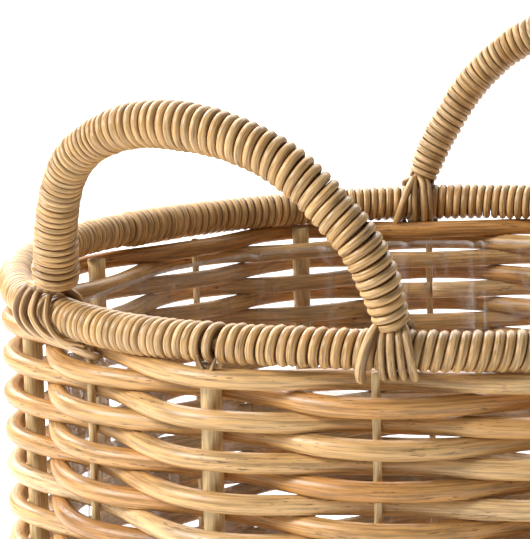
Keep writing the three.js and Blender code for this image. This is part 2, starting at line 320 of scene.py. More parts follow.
def cane_material(name, stops, streak=(55.0, 1500.0), streak_dark=0.72, dash=0.6, groove_shade=0.0, rough=(0.36, 0.54),
                  bump=0.35, sheen_spec=0.5, cut_col=(0.72, 0.56, 0.36)):
    """Rattan: long fibre streaks and short dark marks along the grain, slow colour drift along each cane, faint rings
    at the nodes, painted shade on the side turned to the core where the canes touch, and a pale porous sawn end."""
    n = Nodes(name)
    g = n.attr("grain").outputs["Vector"]
    tone = n.attr("tone").outputs["Fac"]
    cut = n.attr("cut").outputs["Fac"]
    ring = n.attr("ring").outputs["Fac"]
    sep = n.new("ShaderNodeSeparateXYZ")
    n.link(g, sep.inputs[0])
    # slow drift of colour along the cane and a little round it
    drift = n.noise(n.vec(g, (16, 90, 90)), detail=2.0)
    t = n.math("ADD", tone, n.math("MULTIPLY", n.math("SUBTRACT", drift, 0.5), 0.55), clamp=True)
    base = n.ramp(t, stops)
    # fibres
    fine = n.noise(n.vec(g, (streak[0], streak[1], streak[1])), detail=3.0, rough=0.62)
    fibre = n.remap(fine, 0.36, 0.62, streak_dark, 1.10)
    fibre_col = n.new("ShaderNodeCombineColor")
    for k in range(3):
        n.link(fibre, fibre_col.inputs[k])
    col = n.mix(1.0, base, fibre_col.outputs[0], "MULTIPLY")
    # wide darker bands along the grain
    band = n.noise(n.vec(g, (22, 420, 420), (3.1, 0, 0)), detail=2.0)
    col = n.mix(n.remap(band, 0.56, 0.80, 0.0, 0.42), col, (0.33, 0.165, 0.055))
    # short dark marks
    mark = n.noise(n.vec(g, (170, 1500, 1500), (7.7, 0, 0)), detail=2.0, rough=0.55)
    where = n.noise(n.vec(g, (30, 160, 160), (1.3, 0, 0)), detail=1.0)
    marks = n.math("MULTIPLY", n.remap(mark, 0.60, 0.69, 0.0, 1.0), n.remap(where, 0.44, 0.60, 0.0, dash))
    col = n.mix(marks, col, (0.13, 0.062, 0.024))
    # rings at the nodes
    rings = n.math("MULTIPLY", n.remap(ring, 0.0003, 0.0011, 1.0, 0.0), n.remap(fine, 0.35, 0.6, 0.25, 0.75))
    col = n.mix(rings, col, (0.17, 0.085, 0.035))
    # painted shade: the side turned to the core, down into the grooves where the canes touch, is darkened
    if groove_shade:
        inner = n.remap(sep.outputs["Y"], 0.0001, 0.0016, groove_shade, 0.0)
        col = n.mix(inner, col, (0.105, 0.045, 0.014))
    # sawn ends
    pores = n.noise(n.vec(g, (300, 3200, 3200)), detail=1.0)
    sawn = n.mix(n.remap(pores, 0.5, 0.62, 0.0, 0.7), cut_col, (0.25, 0.15, 0.07))
    col = n.mix(n.remap(cut, 0.35, 0.9), col, sawn)
    b = n.new("ShaderNodeBsdfPrincipled")
    n.link(col, b.inputs["Base Color"])
    rn = n.math("ADD", n.math("MULTIPLY", fine, rough[1] - rough[0]), rough[0])
    n.link(n.math("ADD", rn, n.math("MULTIPLY", cut, 0.3), clamp=True), b.inputs["Roughness"])
    b.inputs["Specular IOR Level"].default_value = sheen_spec
    h = n.math("ADD", fine, n.math("MULTIPLY", marks, -0.8))
    bp = n.new("ShaderNodeBump")
    bp.inputs["Strength"].default_value = bump
    bp.inputs["Distance"].default_value = 0.00022
    n.link(h, bp.inputs["Height"])
    n.link(bp.outputs[0], b.inputs["Normal"])
    n.link(b.outputs[0], n.out.inputs["Surface"])
    return n.m


CREAM, TAN, ORANGE, BROWN = (0.73, 0.490, 0.245), (0.55, 0.312, 0.112), (0.53, 0.255, 0.072), (0.33, 0.158, 0.044)
# the wound canes carry painted shade in the grooves between their turns
mat_wind = cane_material("wrapping_cane", [(0.0, (0.38, 0.195, 0.062)), (0.35, TAN), (0.7, (0.64, 0.392, 0.160)), (1.0, CREAM)],
                         streak=(75, 1250), streak_dark=0.50, dash=0.8, groove_shade=0.95, rough=(0.32, 0.50))
mat_weave = cane_material("weaving_pole", [(0.0, BROWN), (0.28, ORANGE), (0.6, (0.60, 0.355, 0.135)), (1.0, CREAM)],
                          streak=(42, 850), streak_dark=0.60, dash=0.95, rough=(0.30, 0.50))
mat_stake = cane_material("stake_pole", [(0.0, (0.58, 0.40, 0.175)), (0.5, (0.74, 0.55, 0.27)), (1.0, (0.82, 0.64, 0.36))],
                          streak=(50, 1100), streak_dark=0.68, dash=0.6, rough=(0.38, 0.56))
# the core canes carry painted shade on the side that lies on the winding
mat_core = cane_material("core_cane", [(0.0, (0.30, 0.16, 0.055)), (0.5, (0.52, 0.31, 0.12)), (1.0, (0.68, 0.44, 0.21))],
                         streak=(70, 1250), streak_dark=0.52, dash=0.8, groove_shade=0.75, rough=(0.34, 0.52))


def film_material():
    """Clear, thin, creased plastic film: mostly see-through, with a faint milky veil and bright gloss."""
    n = Nodes("clear_film")
    tc = n.new("ShaderNodeTexCoord").outputs["Object"]
    wide = n.noise(n.vec(tc, (16, 16, 11)), detail=2.0, distortion=0.8)
    crinkle = n.new("ShaderNodeTexVoronoi", feature="DISTANCE_TO_EDGE")
    crinkle.inputs["Scale"].default_value = 1.0
    warped = n.new("ShaderNodeVectorMath", operation="ADD")
    n.link(n.vec(tc, (34, 34, 24)), warped.inputs[0])
    wn = n.new("ShaderNodeTexNoise")
    wn.inputs["Scale"].default_value = 22.0
    wn.inputs["Detail"].default_value = 2.0
    n.link(tc, wn.inputs["Vector"])
    n.link(wn.outputs["Color"], warped.inputs[1])
    n.link(warped.outputs[0], crinkle.inputs["Vector"])
    edge = n.remap(crinkle.outputs["Distance"], 0.0, 0.07, 1.0, 0.0)
    h = n.math("ADD", n.math("MULTIPLY", wide, 1.0), n.math("MULTIPLY", n.math("MINIMUM", crinkle.outputs["Distance"], 0.3), 0.8))
    bp = n.new("ShaderNodeBump")
    bp.inputs["Strength"].default_value = 0.8
    bp.inputs["Distance"].default_value = 0.006
    n.link(h, bp.inputs["Height"])
    clear = n.new("ShaderNodeBsdfTransparent")
    clear.inputs["Color"].default_value = (0.985, 0.985, 0.985, 1)
    b = n.new("ShaderNodeBsdfPrincipled")
    b.inputs["Base Color"].default_value = (0.55, 0.545, 0.535, 1)
    b.inputs["Roughness"].default_value = 0.08
    b.inputs["IOR"].default_value = 1.5
    b.inputs["Specular IOR Level"].default_value = 1.0
    n.link(bp.outputs[0], b.inputs["Normal"])
    mix = n.new("ShaderNodeMixShader")
    lw = n.new("ShaderNodeLayerWeight")
    lw.inputs["Blend"].default_value = 0.35
    n.link(bp.outputs[0], lw.inputs["Normal"])
    seen = n.math("ADD", n.math("MULTIPLY", lw.outputs["Facing"], 0.40), n.math("MULTIPLY", edge, 0.14))
    # a thin band at the top edge mixes in much more of the grey gloss surface: partly a rolled hem, partly a painted
    # highlight along the edge
    hem_and_highlight = n.attr("hem_and_highlight").outputs["Fac"]
    veil = n.math("ADD", 0.035, n.math("MULTIPLY", n.remap(hem_and_highlight, 0.988, 0.996), 0.45))
    # thin vertical streaks along the standing folds mix in more of the grey gloss surface: partly the extra layers of a
    # fold, partly a painted sheen
    thin = n.noise(n.vec(tc, (420, 420, 18)), detail=2.0)
    fold_and_sheen = n.math("MULTIPLY", n.remap(n.attr("fold_and_sheen").outputs["Fac"], 0.35, 0.95), n.remap(thin, 0.40, 0.60, 0.10, 0.42))
    fac = n.math("ADD", n.math("ADD", seen, veil), fold_and_sheen, clamp=True)
    n.link(fac, mix.inputs[0])
    n.link(clear.outputs[0], mix.inputs[1])
    n.link(b.outputs[0], mix.inputs[2])
    n.link(mix.outputs[0], n.out.inputs["Surface"])
    return n.m


# ---------------------------------------------------------------- the rim winding: four lengths of round cane
def rim_pitch(deg):
    """Pitch of the turns along the rim, in mm of rim centreline."""
    x = np.array([0, 29, 50, 70, 100, 121.9, 122.4, 140, 180, 240, 300, 330, 360])
    y = np.array([4.62, 4.62, 4.35, 4.15, 4.05, 4.1, 4.9, 4.5, 4.45, 4.45, 4.5, 4.6, 4.62])
    return np.interp(np.mod(deg, 360), x, y)


def rim_cane_r(deg):
    x = np.array([0, 29, 50, 70, 100, 121.9, 122.4, 140, 180, 240, 300, 330, 360])
    y = np.array([2.36, 2.34, 2.15, 2.08, 2.05, 2.08, 2.42, 2.28, 2.22, 2.22, 2.25, 2.32, 2.36])
    return np.interp(np.mod(deg, 360), x, y)


def rim_sag(deg):
    """How far the rim strays from a level circle, up positive."""
    x = np.array([0, 8, 18, 30, 42, 56, 75, 100, 116, 124, 126, 150, 180, 215, 300, 345, 360])
    y = np.array([0.2, 0.7, 1.0, -0.2, -1.1, -0.5, 0.2, 1.0, 1.8, 1.5, 0.9, 0.5, 0.6, 0.3, 0.2, -0.6, 0.2])
    return np.interp(np.mod(deg, 360), x, y)


def rim_tube(deg):
    """Outside radius of the wound rim."""
    x = np.array([0, 100, 124.6, 125.3, 133, 145, 158, 168, 182, 200, 240, 300, 360])
    y = np.array([9.0, 9.0, 9.15, 10.1, 9.9, 9.5, 9.6, 9.9, 10.1, 9.8, 9.3, 9.0, 9.0])
    return np.interp(np.mod(deg, 360), x, y)


def rim_length(k, start, end, seed, tail_in, tail_out):
    """One length of cane wound from bearing start to end. tail_in and tail_out are the loose ends."""
    # turn count against bearing
    fine = np.linspace(start, end, 4000)
    turns = np.concatenate([[0], np.cumsum(np.diff(fine) * math.pi / 180 * RIM_R / rim_pitch((fine[1:] + fine[:-1]) / 2))])
    total = round(turns[-1])
    turns = turns * total / turns[-1]
    per = 26
    steps = int(round(total * per))
    ph = np.linspace(0, total, steps + 1)
    deg = np.interp(ph, turns, fine)
    r_cane = rim_cane_r(deg)
    if k == 4:
        # the last turn stands off by itself
        q = np.clip((ph - (total - 1.3)) / 0.55, 0, 1)
        deg = deg + 0.57 * q * q * (3 - 2 * q)
    # unevenness: a turn is nudged along the rim, sits a little proud or sunk, and leans
    jolt = np.where((np.mod(deg, 360) > 129) & (np.mod(deg, 360) < 140), 2.6, 1.0)
    nudge = noise1(ph, seed) * 0.16 * jolt + noise1(ph / 7, seed + 1) * 0.25
    two = 0.5 + 0.5 * np.cos(np.pi * np.floor(ph + 0.25))          # every second turn
    proud = np.where((deg % 360 < 30) | (deg % 360 > 300), 0.36, 0.12)
    f = (ph + 0.25) % 1
    blend = np.clip((f - 0.0) / 0.25, 0, 1)
    was = 0.5 + 0.5 * np.cos(np.pi * (np.floor(ph + 0.25) - 1))
    two = was * (1 - blend) + two * blend
    lift = proud * (two - 0.5) * 2 * 0.5 + noise1(ph * 1.0, seed + 2) * 0.12
    psi = 2 * np.pi * ph                       # angle round the rim: 0 is outwards
    # starts at the bottom, goes up the inside, over the top and down the outside
    el = -np.pi / 2 - psi
    rho = rim_tube(deg) + lift - r_cane
    # the turns lean beside the second foot of the left handle
    lean = np.interp(np.mod(deg + 60, 360) - 60, [-60, -30, 4, 12, 29, 40, 300], [0.3, 1.15, 1.15, 0.55, 0.4, 0, 0])
    bearing = deg + (nudge - lean * np.sin(el)) / RIM_R * 180 / math.pi
    zc = RIM_Z + rim_sag(bearing)
    c, s = np.cos(el), np.sin(el)
    P = polar(bearing, RIM_R + rho * c, zc + rho * s)
    out = polar(bearing, 1.0, 0) * c[:, None] + np.array([0, 0, 1]) * s[:, None]
    tone = {1: 0.66, 2: 0.58, 3: 0.74, 4: 0.61}[k] + 0.15 * noise1(ph * 1.0, seed + 3) + 0.16 * noise1(ph / 9, seed + 4) + 0.10 * (two - 0.5)
    r_all = r_cane * (1 + 0.03 * noise1(ph * 0.9, seed + 5))
    if tail_in is not None:
        extra = spline(np.vstack([tail_in, P[0]]), 5)[:-1]
        P = np.vstack([extra, P])
        out = np.vstack([np.repeat(out[:1], len(extra), 0), out])
        tone = np.concatenate([np.full(len(extra), tone[0]), tone])
        r_all = np.concatenate([np.full(len(extra), r_all[0]), r_all])
    if tail_out is not None:
        extra = spline(np.vstack([P[-1], tail_out]), 5)[1:]
        P = np.vstack([P, extra])
        out = np.vstack([out, np.repeat(out[-1:], len(extra), 0)])
        tone = np.concatenate([tone, np.full(len(extra), tone[-1])])
        r_all = np.concatenate([r_all, np.full(len(extra), r_all[-1])])
    return cane(P, r_all, sides=9, hint=out, tone=np.clip(tone, 0, 1), s0=seed * 7.3,
                taper=(5.0 if tail_in is not None else None, 5.0 if tail_out is not None else None), bevel=0.3)


def tail(deg, moves):
    """Points of a loose end that hangs from the rim at a bearing: (mm along the rim towards the left, mm out, mm up)."""
    return np.array([polar(deg + a / RIM_R * 180 / math.pi, RIM_R + o, RIM_Z + rim_sag(deg) + u) for a, o, u in moves])


LENGTHS = [
    (1, 28.85, 122.05, 11),
    (2, 122.3, 208.9, 12),
    (3, 209.2, 298.9, 13),
    (4, 299.2, 387.8, 14),
]
# cut ends of the cane that show at the near joint: (piece, points, radius at the hidden end, radius at the cut end)
CUTS = {1: [(tail(28.7, [(0.9, 8.6, -4.2), (0.7, 8.4, -6.6), (0.2, 7.0, -9.4), (-0.5, 5.6, -11.6)]), 0.5, 1.15)],
        4: [(tail(27.1, [(-1.8, 8.6, -5.0), (-0.4, 8.4, -7.6), (1.0, 7.2, -9.8), (2.2, 5.8, -11.4)]), 0.55, 1.25)]}
for k, a, b, seed in LENGTHS:
    canes = [rim_length(k, a, b, seed, None, None)]
    for pts, r_in, r_out in CUTS.get(k, []):
        P = resample(spline(pts, 8), 0.6)
        canes.append(cane(P, np.linspace(r_in, r_out, len(P)), sides=8, hint=polar(np.full(len(P), 28.0), 1.0, 0), tone=0.9, s0=seed * 2.0, bevel=0.2))
    piece(f"rim_winding_{k}", canes, mat_wind, "basket", [f"rim_wrap_{k}"])


# ---------------------------------------------------------------- handles
HANDLES = [
    dict(name="handle_left", feet=(57.5, 5.8), lean=16, arch=[
        (-88, 17), (-84.2, 30), (-80.9, 42.3), (-75.6, 55.5), (-70, 66.5), (-60.6, 78.2), (-46.5, 87.8), (-28, 94.9), (-8.4, 97.4),
        (12, 96.2), (31, 92), (48.6, 84.7), (62, 74.8), (73.2, 62.4), (83, 49.5), (89, 34), (92, 17), (92.6, 12.5)],
        # length along the arch, share of its length: outer radius, cane radius, pitch
        body=[(0.0, 10.8, 1.65, 3.1), (0.03, 10.9, 1.65, 3.1), (0.07, 10.3, 1.62, 3.05), (0.16, 9.75, 1.60, 3.0), (0.345, 9.45, 1.60, 3.0)],
        body2=[(0.335, 9.8, 2.15, 4.05), (0.42, 10.35, 2.15, 4.15), (0.5, 10.85, 2.2, 4.3), (0.56, 10.5, 2.25, 4.4), (0.62, 10.05, 2.3, 4.45),
               (0.72, 9.85, 2.3, 4.45), (0.85, 10.1, 2.25, 4.35), (0.925, 9.6, 2.2, 4.3), (0.965, 8.7, 2.15, 4.2), (1.0, 7.8, 2.1, 4.0)]),
    dict(name="handle_right", feet=(175.7, 237.5), lean=12, arch=[
        (-108.6, 14.5), (-106.3, 22.5), (-103.4, 30.5), (-99.7, 39), (-93.2, 51), (-84.8, 65.4), (-73.5, 78.8), (-58, 91.8), (-40, 101.5), (-20, 106.5),
        (0, 108), (20, 106.5), (40, 101.5), (58, 91.8), (73.5, 78.8), (84.8, 65.4), (93.2, 51), (99.7, 39), (105.2, 26.5), (107, 17)],
        body=[(0.0, 8.0, 2.0, 3.9), (0.02, 9.0, 2.0, 3.9), (0.05, 9.6, 2.0, 3.95), (0.2, 9.8, 2.1, 4.1), (0.4, 10.0, 2.2, 4.3), (0.8, 9.8, 2.2, 4.3),
              (0.95, 8.9, 2.1, 4.1), (1.0, 8.2, 2.0, 3.9)],
        body2=None),
]


def handle_frame(h):
    a, b = (polar(np.array(float(d)), RIM_R, RIM_Z) for d in h["feet"])
    mid = (a + b) / 2
    along = unit(b - a)
    outwards = unit(np.array([mid[0], mid[1], 0.0]))
    ln = math.radians(h["lean"])
    rise = np.array([0, 0, 1.0]) * math.cos(ln) + outwards * math.sin(ln)
    face = unit(np.cross(along, rise))
    return mid, along, rise, face


def wind(h, table, span, seed, sense):
    """Cane wound on the handle's arch over a share span of its length."""
    mid, along, rise, face = handle_frame(h)
    arch = spline(np.array(h["arch"], float), 16)
    s = arc_len(arch)
    L = s[-1]
    tb = np.array(table, float)
    u = np.linspace(span[0], span[1], 6000)
    pitch = np.interp(u, tb[:, 0], tb[:, 3])
    turns = np.concatenate([[0], np.cumsum(np.diff(u) * L / ((pitch[1:] + pitch[:-1]) / 2))])
    per = 26
    n = int(round(turns[-1] * per))
    ph = np.linspace(0, turns[-1], n + 1)
    at = np.interp(ph, turns, u) * L
    messy = 1 + 3.2 * np.clip(1 - np.abs(at / L - 0.03) / 0.07, 0, 1) * (span[0] == 0) * (sense < 0)
    nudge = noise1(ph, seed) * 0.17 * messy + noise1(ph / 6, seed + 1) * 0.2 + 0.55 * (messy > 1.5) * np.sin(2 * np.pi * ph + 1.0)
    at = np.clip(at + nudge, 0, L)
    e2 = np.stack([np.interp(at, s, arch[:, k]) for k in range(2)], -1)
    d = 0.8
    ahead = np.stack([np.interp(np.clip(at + d, 0, L), s, arch[:, k]) for k in range(2)], -1)
    behind = np.stack([np.interp(np.clip(at - d, 0, L), s, arch[:, k]) for k in range(2)], -1)
    t2 = unit(ahead - behind)
    C = mid + e2[:, :1] * along + e2[:, 1:] * rise
    T = t2[:, :1] * along + t2[:, 1:] * rise
    F = np.broadcast_to(face, T.shape)
    U = unit(np.cross(F, T))
    share = at / L
    outer = np.interp(share, tb[:, 0], tb[:, 1])
    rc = np.interp(share, tb[:, 0], tb[:, 2])
    psi = 2 * np.pi * ph * sense + 0.7
    lift = noise1(ph, seed + 2) * 0.18 * (0.4 + 0.6 * messy) + noise1(ph * 0.5, seed + 6) * 0.12
    rho = outer - rc + lift
    c, sn = np.cos(psi), np.sin(psi)
    out = c[:, None] * F + sn[:, None] * U
    P = C + rho[:, None] * out
    tone = (0.57 if h["name"] == "handle_left" else 0.86) + 0.15 * noise1(ph, seed + 3) + 0.16 * noise1(ph / 8, seed + 4)
    r_all = rc * (1 + 0.03 * noise1(ph * 0.8, seed + 5))
    return cane(P, r_all, sides=9, hint=out, tone=np.clip(tone, 0, 1), s0=seed * 5.1, taper=(3.0, 3.0), bevel=0.3)


def strand(deg, start, route, radius, seed, tone):
    """One core cane: leaves the binding at start, then lies on the rim winding. route rows are
    (angle round the rim section, 0 outwards and 90 up; mm along the rim towards the front; extra reach)."""
    pts = list(start)
    for el, dx, more in route:
        b = deg - dx / RIM_R * 180 / math.pi
        reach = rim_tube(b) + 0.15 + radius + more
        c, s = math.cos(math.radians(el)), math.sin(math.radians(el))
        pts.append(polar(np.array(b), RIM_R + reach * c, RIM_Z + rim_sag(b) + reach * s))
    P = resample(spline(np.array(pts), 10), 1.1)
    centre = polar(np.array(float(deg)), RIM_R, RIM_Z)
    return cane(P, radius * (1 + 0.02 * noise1(np.arange(len(P)) / 9, seed)), sides=10, hint=unit(P - centre), tone=tone, s0=seed * 3.3, bevel=0.5)


def collar_start(h, foot, offset_face, offset_along, back):
    """Points inside the binding of a foot, on the way down to the rim."""
    mid, along, rise, face = handle_frame(h)
    arch = np.array(h["arch"], float)
    a, b = (arch[0], arch[1]) if foot == 0 else (arch[-1], arch[-2])
    d = unit(b - a)
    out = []
    for t, squeeze in ((8.0, 0.45), (3.0, 0.62), (back, 0.92)):
        q = a + d * t
        out.append(mid + q[0] * along + q[1] * rise + face * offset_face * squeeze + along * offset_along * squeeze)
    return out


# where the strands of each foot have left the binding, along the arch from its end
BACK = {("handle_left", 0): -2.5, ("handle_left", 1): 0.3, ("handle_right", 0): -0.8, ("handle_right", 1): -2.0}


def splay(h, foot, outer, inner, seed):
    """All the strands at one foot. outer and inner list (start sideways, start face, route, radius, tone)."""
    deg = h["feet"][foot]
    canes = []
    for k, (side, off, route, radius, tone) in enumerate(list(outer) + list(inner)):
        canes.append(strand(deg, collar_start(h, foot, off, side, BACK[(h["name"], foot)]), route, radius, seed + k, tone))
    return canes


def outward(h):
    """1 where the handle plane's normal points away from the basket's middle, else -1."""
    mid, along, rise, face = handle_frame(h)
    return 1.0 if face @ unit(np.array([mid[0], mid[1], 0])) > 0 else -1.0


def fan(h, foot, seed, spread=1.0, lean=0.0, low=-98):
    o = outward(h)
    rng = np.random.default_rng(seed)
    outer, inner = [], []
    sgn = 1.0
    for k, f in enumerate((-2, -1, 0, 1, 2)):
        j = rng.uniform(-0.5, 0.5, 3)
        outer.append((f * 2.5, o * (4.2 - 0.5 * abs(f)),
                      [(66, f * 3.1 * spread + lean * 0.2, 0.9), (38, f * 3.7 * spread + lean * 0.45 + j[0], 0.5), (5, f * 4.3 * spread + lean * 0.7 + j[1], 0.25),
                       (-30, f * 4.6 * spread + lean * 0.9 + j[2], 0.2), (-62, f * 4.6 * spread + lean + j[2], 0.25), (low, f * 4.4 * spread + lean * 1.1, 0.2)],
                      1.95 + 0.08 * j[0], 0.72 + 0.16 * j[1]))
    for k, f in enumerate((-1.5, -0.5, 0.5, 1.5)):
        j = rng.uniform(-0.5, 0.5, 3)
        inner.append((f * 2.7, -o * (4.0 - 0.5 * abs(f)),
                      [(112, f * 3.2 * spread, 0.9), (142, f * 3.9 * spread + j[0], 0.5), (178, f * 4.3 * spread + j[1], 0.25),
                       (212, f * 4.4 * spread + j[1], 0.2), (238, f * 4.4 * spread + j[1], 0.15)],
                      1.9 + 0.08 * j[0], 0.55 + 0.16 * j[1]))
    return outer, inner


left, right = HANDLES
# left handle, winding: a thin cane up the left leg, then a thicker one over the top to the other foot
piece("handle_left_winding", [wind(left, left["body"], (0.0, 0.350), 31, -1), wind(left, left["body2"], (0.343, 1.0), 41, -1)],
      mat_wind, "basket", ["handle_left_wrap"])
piece("handle_right_winding", [wind(right, right["body"], (0.0, 1.0), 51, 1)], mat_wind, "basket", ["handle_right_wrap"])


def core_rod(h, seed):
    mid, along, rise, face = handle_frame(h)
    arch = spline(np.array(h["arch"], float), 5)
    P = mid + arch[:, :1] * along + arch[:, 1:] * rise
    return cane(P, 5.2, sides=10, hint=face, tone=0.4, s0=seed, bevel=0.6)


canes = [core_rod(left, 61.0)]
o = outward(left)
o_, i_ = fan(left, 1, 71, spread=0.85, lean=1.5)
o_ = [
    (-3.4, o * 4.0, [(64, -4.9, 0.8), (38, -5.2, 0.4), (5, -5.4, 0.2), (-30, -5.5, 0.2), (-62, -5.4, 0.2), (-92, -5.3, 0.2)], 1.80, 0.72),
    (-1.2, o * 4.6, [(64, -2.0, 0.8), (38, -1.8, 0.5), (5, -1.6, 0.3), (-30, -1.4, 0.2), (-62, -1.3, 0.2), (-100, -1.4, 0.2)], 1.90, 0.66),
    (1.2, o * 4.6, [(64, 0.8, 1.0), (38, 1.6, 0.7), (5, 2.3, 0.4), (-30, 2.7, 0.2), (-62, 2.9, 0.2), (-98, 2.9, 0.2)], 1.80, 0.58),
    (3.2, o * 4.0, [(64, 3.2, 1.4), (38, 4.6, 1.1), (5, 6.0, 0.8), (-30, 6.8, 0.4), (-62, 7.2, 0.3), (-90, 7.2, 0.2)], 1.90, 0.76),
    # a stray turn of the binding crosses the rim beside this foot
    (-4.2, o * 2.6, [(62, -7.4, 0.9), (38, -9.4, 1.0), (2, -11.8, 1.6), (-30, -13.6, 1.9), (-58, -14.4, 1.3), (-74, -14.7, 0.8)], 2.30, 0.72),
]
canes += splay(left, 1, o_, i_, 700)
o_, i_ = fan(left, 0, 73, spread=0.8, lean=3.0)
# the outer strands of this foot cross the rim on a slant and tuck under it towards the front
o_ = [
    (-9.0, o * 3.4, [(60, -11.6, 3.0), (40, -14.2, 2.2), (16, -16.2, 1.5), (-8, -16.8, 1.1), (-36, -15.0, 0.9), (-62, -9.8, 0.8), (-92, 0.0, 0.3)], 2.05, 0.86),
    (-5.0, o * 4.6, [(60, -6.2, 2.6), (34, -8.2, 1.6), (-3, -8.6, 1.1), (-36, -4.2, 0.8), (-64, 4.5, 0.9), (-82, 17.0, 0.8), (-100, 25.0, 0.3)], 2.05, 0.62),
    (-0.6, o * 4.8, [(60, -0.6, 2.4), (36, 0.2, 1.6), (2, 1.6, 1.2), (-34, 7.0, 0.8), (-61, 15.8, 0.8), (-74, 25.5, 1.4), (-86, 31.5, 2.6), (-97, 34.0, 3.8), (-104, 31.5, 4.8), (-99, 27.0, 4.8)], 1.85, 0.78),
    (3.6, o * 3.6, [(66, 5.4, 0.9), (38, 9.2, 0.4), (5, 12.0, 0.2), (-32, 16.0, 0.2), (-60, 21.0, 0.3), (-88, 28.0, 0.3)], 1.45, 0.62),
]
canes += splay(left, 0, o_, i_, 740)
piece("handle_left_strands", canes, mat_core, "basket", ["handle_left_core"])

canes = [core_rod(right, 62.0)]
o_, i_ = fan(right, 0, 81)
o = outward(right)
i_ = [
    (-3.2, -o * 3.4, [(112, 4.6, 0.9), (142, 7.6, 1.3), (178, 11.4, 1.0), (212, 13.6, 0.5), (238, 14.6, 0.3)], 2.15, 0.62),
    (-2.2, -o * 3.8, [(112, 3.2, 0.7), (142, 3.7, 0.3), (178, 3.9, 0.15), (212, 3.9, 0.15), (238, 3.9, 0.15)], 1.95, 0.40),
    (1.4, -o * 4.2, [(112, -1.4, 0.9), (142, -1.8, 0.4), (178, -2.0, 0.2), (212, -2.1, 0.2), (238, -2.1, 0.15)], 2.05, 0.46),
    (3.6, -o * 3.2, [(112, -4.6, 0.6), (142, -5.2, 0.2), (178, -5.6, 0.1), (212, -5.8, 0.1), (238, -5.8, 0.1)], 1.75, 0.22),
]
canes += splay(right, 0, o_, i_, 760)
o_, i_ = fan(right, 1, 83)
canes += splay(right, 1, o_, i_, 780)
piece("handle_right_strands", canes, mat_core, "basket", ["handle_right_core"])

# the rim hoop, inside the winding
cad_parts["rim_hoop"].data.materials.clear()


def hoop_material():
    n = Nodes("bare_hoop")
    tc = n.new("ShaderNodeTexCoord").outputs["Object"]
    a = n.noise(n.vec(tc, (60, 60, 900)), detail=3.0, rough=0.6)
    b = n.new("ShaderNodeBsdfPrincipled")
    n.link(n.ramp(a, [(0.3, (0.30, 0.17, 0.07)), (0.7, (0.58, 0.38, 0.18))]), b.inputs["Base Color"])
    n.link(n.math("ADD", n.math("MULTIPLY", a, 0.25), 0.42), b.inputs["Roughness"])
    n.link(b.outputs[0], n.out.inputs["Surface"])
    return n.m


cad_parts["rim_hoop"].data.materials.append(hoop_material())


# ---------------------------------------------------------------- stakes
def is_thick(i):
    return i % 2 == 1


for i, deg in enumerate(STAKES):
    r = THICK_R - 0.1 if is_thick(i) else THIN_R
    z0, z1 = 2 * 8 + 0.6, RIM_Z - RIM_TUBE - 0.6
    z = np.linspace(z0, z1, 60)
    side = noise1(z / 60.0, 300 + i) * (0.5 if is_thick(i) else 0.7)
    b = deg + side / 205 * 180 / math.pi
    if i == 1:
        # this one leans a little
        b = b - 1.4 * np.clip((235 - z) / 235, 0, 1)
    P = polar(b, wall(z) + 0 * z, z)
    nodes_at = [z1 - z0 - 96 - 13 * (i % 3), 92 + 17 * (i % 4)]
    body = cane(P, r * (1 + 0.015 * noise1(z / 25.0, 330 + i)), sides=14 if is_thick(i) else 10, hint=polar(np.full(60, deg), 1.0, 0), tone=0.50 + 0.3 * knots(5)[i],
                s0=40 + i * 1.7, knots_at=nodes_at if is_thick(i) else (), bevel=0.5)
    name = f"stake_{'thick' if is_thick(i) else 'thin'}_{i // 2 + 1}"
    piece(f"{name}_pole", [body], mat_stake, "basket", [name])


# ---------------------------------------------------------------- the weave
def row_shift(deg, z):
    """How far the weave strays up or down from level rows."""
    x = np.array([-30, 0, 8, 28, 49, 65, 90, 125, 145, 170, 200, 230, 260, 300, 330])
    y = np.array([0, -0.4, -0.7, -0.5, 0.7, 1.6, 0.9, 0.9, 1.5, 1.6, 1.5, 0.8, 0, 0, 0])
    d = np.mod(deg + 30, 360) - 30
    near_top = np.clip((z - 90) / 120, 0, 1)
    # at the back the top row is held down by the thicker rim
    top_row = np.clip((z - (ROW1_Z - 1.3 * PITCH)) / PITCH, 0, 1)
    held = np.where((d > 110) & (d < 250), 1 - 0.55 * top_row, 1.0)
    return np.interp(d, x, y) * near_top * held + 0.5 * top_row * np.clip((40 - np.abs(d)) / 15, 0, 1)


ROW_TONE = np.random.default_rng(9).uniform(0.28, 0.92, 64)


def pass_point(i, strand_name, z):
    m = i % 16
    outside = is_thick(m) == (strand_name == "a")
    off = (THICK_R if is_thick(m) else THIN_R) + POLE_R - 0.05
    return STAKES[m] + 360.0 * math.floor(i / 16), (off if outside else -off), z


def strand_points(strand_name):
    row0 = 0 if strand_name == "a" else 1
    first = STEP_FROM + STEP_BAYS - 16 - (1 if strand_name == "a" else 0)
    turns = ROWS // 2
    last = (turns - 1) * 16 + STEP_FROM + (-1 if strand_name == "a" else 2)
    pts = []
    for i in range(first, last + 1):
        turn = math.floor((i - STEP_FROM) / 16)
        into = (i - STEP_FROM) - turn * 16
        down = 0 if i < STEP_FROM else turn + min(into / STEP_BAYS, 1)
        stepped = turns - 1 if i > (turns - 1) * 16 + STEP_FROM else down
        pts.append(pass_point(i, strand_name, ROW1_Z - PITCH * (row0 + 2 * stepped)))
    return np.array(pts)


